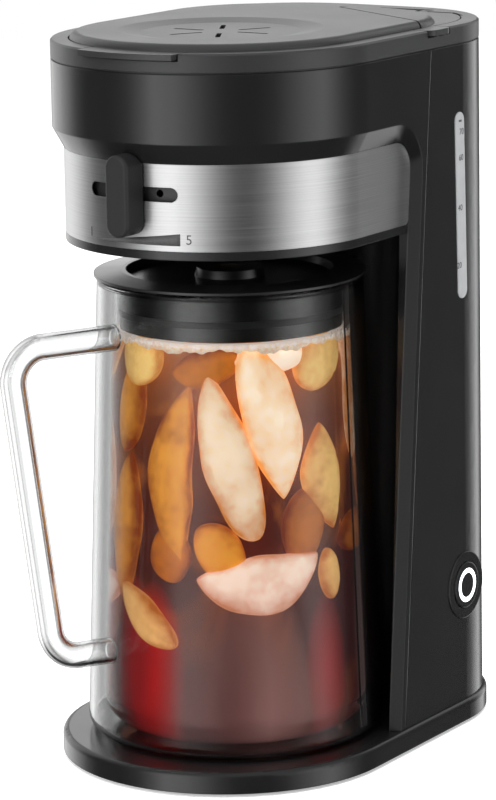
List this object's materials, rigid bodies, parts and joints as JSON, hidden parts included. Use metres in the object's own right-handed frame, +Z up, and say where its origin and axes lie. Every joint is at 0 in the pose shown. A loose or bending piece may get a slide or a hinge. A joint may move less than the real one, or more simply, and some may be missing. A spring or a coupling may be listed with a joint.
{
  "type": "iced tea maker",
  "caption": "Counter-top iced tea maker with a hinged brewing lid and water lid, strength lever, power button, level window and a double-walled glass pitcher with lid.",
  "frame": {"origin": "middle of the object's outline on the table", "axes": "+Z up, front with the strength lever towards -Y, level window and power button on +X"},
  "size_m": [0.156, 0.2504, 0.333],
  "materials": {
    "black_gloss": "glossy black moulded plastic",
    "black_satin": "satin black moulded plastic",
    "steel": "brushed along the band",
    "pin_steel": "drawn steel",
    "window": "frosted clear plastic",
    "tank_plastic": "translucent clear plastic",
    "light": "white light guide",
    "glass": "clear blown glass",
    "silicone": "grey silicone",
    "rubber_black": "black rubber",
    "aluminium": "die cast",
    "white_plastic": "white heat-proof plastic",
    "filter_mesh": "woven fine mesh"
  },
  "bodies": {
    "root": {"base_housing": "black_gloss", "bottom_cover": "black_satin", "bottom_screws": "pin_steel", "rubber_feet": "rubber_black", "front_shell": "black_gloss", "steel_band": "steel", "rear_housing": "black_gloss", "level_window": "window", "top_rim": "black_satin", "brew_hinge_pin": "pin_steel", "tank_hinge_pin": "pin_steel", "button_bezel": "black_gloss", "switch_module": "black_satin", "water_tank": "tank_plastic", "deck": "black_satin", "brew_basket": "black_satin", "mesh_filter": "filter_mesh", "drip_nozzle": "black_satin", "heater": "aluminium", "heater_feet": "white_plastic", "thermostat": "aluminium", "thermal_fuse": "white_plastic", "inlet_hose": "silicone", "check_valve": "white_plastic", "riser_tube": "silicone", "spray_head": "black_satin", "cord_gland": "rubber_black"},
    "brew_lid": {"brew_lid": "black_satin"},
    "tank_lid": {"tank_lid": "black_satin"},
    "strength_lever": {"strength_lever": "black_satin", "strength_shutter": "black_satin"},
    "power_button": {"power_button": "black_gloss", "light_ring": "light"},
    "pitcher": {"pitcher_outer_wall": "glass", "pitcher_inner_wall": "glass", "pitcher_handle": "glass"},
    "pitcher_lid": {"pitcher_lid": "black_satin", "lid_seal": "silicone"}
  },
  "joints": [
    {"name": "brew_lid_hinge", "type": "hinge", "parent": "root", "child": "brew_lid", "pos_m": [-0.024, 0.09591, 0.3264], "axis": [-1, 0, 0], "range_deg": [0, 95]},
    {"name": "tank_lid_hinge", "type": "hinge", "parent": "root", "child": "tank_lid", "pos_m": [0.02, 0.10691, 0.3264], "axis": [-1, 0, 0], "range_deg": [0, 92]},
    {"name": "strength_turn", "type": "hinge", "parent": "root", "child": "strength_lever", "pos_m": [0, -0.02109, 0.2685], "axis": [0, 0, 1], "range_deg": [-16, 13]},
    {"name": "power_press", "type": "slide", "parent": "root", "child": "power_button", "axis": [-1, 0, 0], "range_m": [0, 0.0022], "stiffness_N_per_m": 500, "springref_m": -0.001},
    {"name": "pitcher_slide", "type": "slide", "parent": "root", "child": "pitcher", "axis": [0, -1, 0], "range_m": [0, 0.18]},
    {"name": "pitcher_lid_turn", "type": "hinge", "parent": "pitcher", "child": "pitcher_lid", "pos_m": [0, -0.01669, 0.22], "axis": [0, 0, 1], "range_deg": [-60, 60]}
  ]
}
